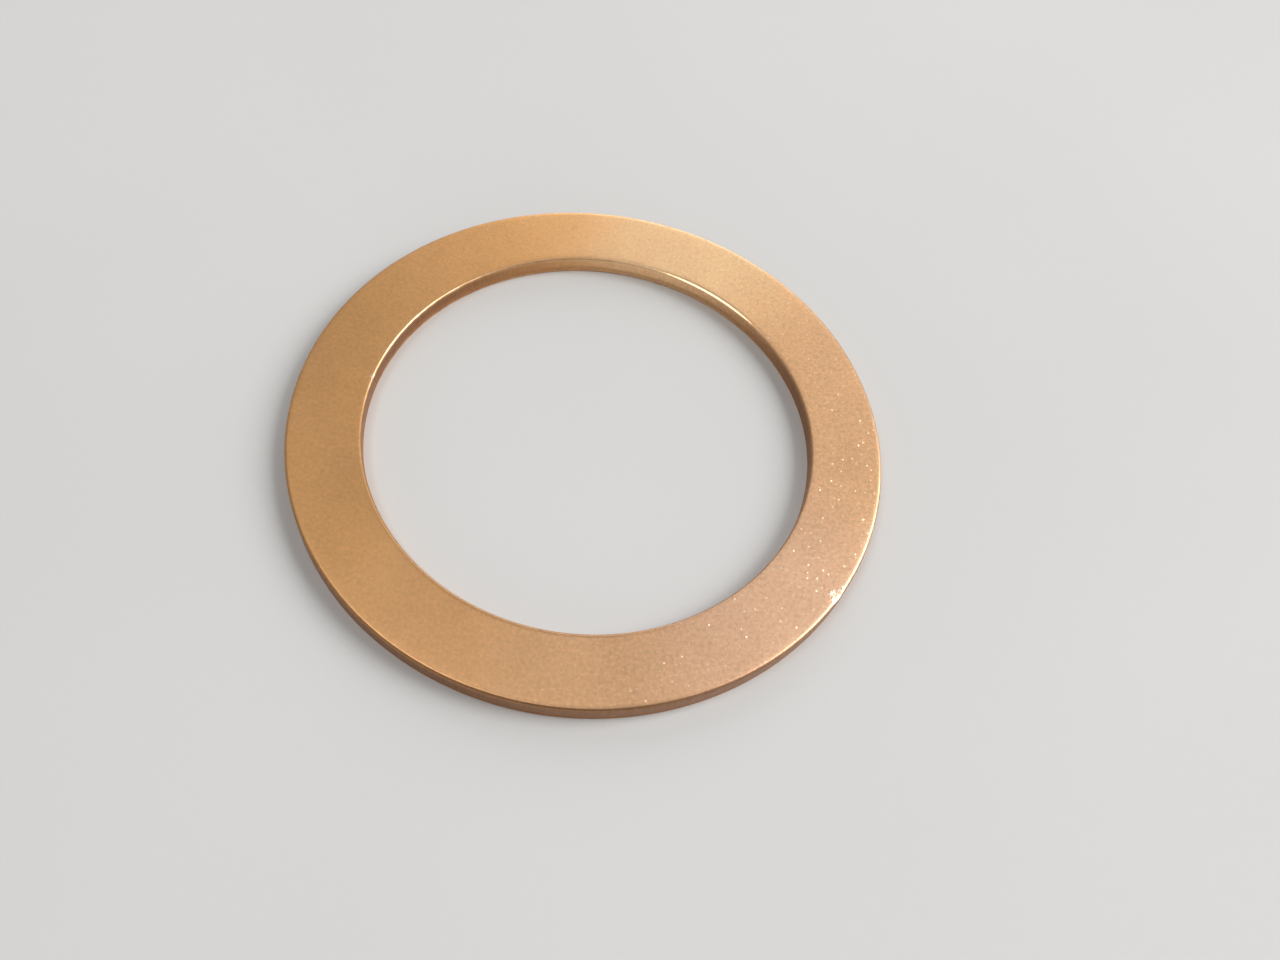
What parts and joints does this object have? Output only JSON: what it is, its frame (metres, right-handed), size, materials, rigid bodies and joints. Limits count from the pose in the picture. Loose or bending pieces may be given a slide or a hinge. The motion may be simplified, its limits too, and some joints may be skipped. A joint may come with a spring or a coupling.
{
  "type": "flat washer",
  "caption": "Thin flat ring with a wide plain hole and softly rounded edges, used as a copper sealing or shim washer.",
  "frame": {"origin": "centre of the lower flat face, on the axis of the hole", "axes": "+Z along the hole's axis, out of the upper flat face; the ring is round about Z, so X and Y are any two directions across it"},
  "size_m": [0.045, 0.045, 0.0015],
  "materials": {
    "copper": "matt, finely grained bare copper with edges polished by wear"
  },
  "bodies": {
    "root": {"washer": "copper"}
  },
  "joints": []
}
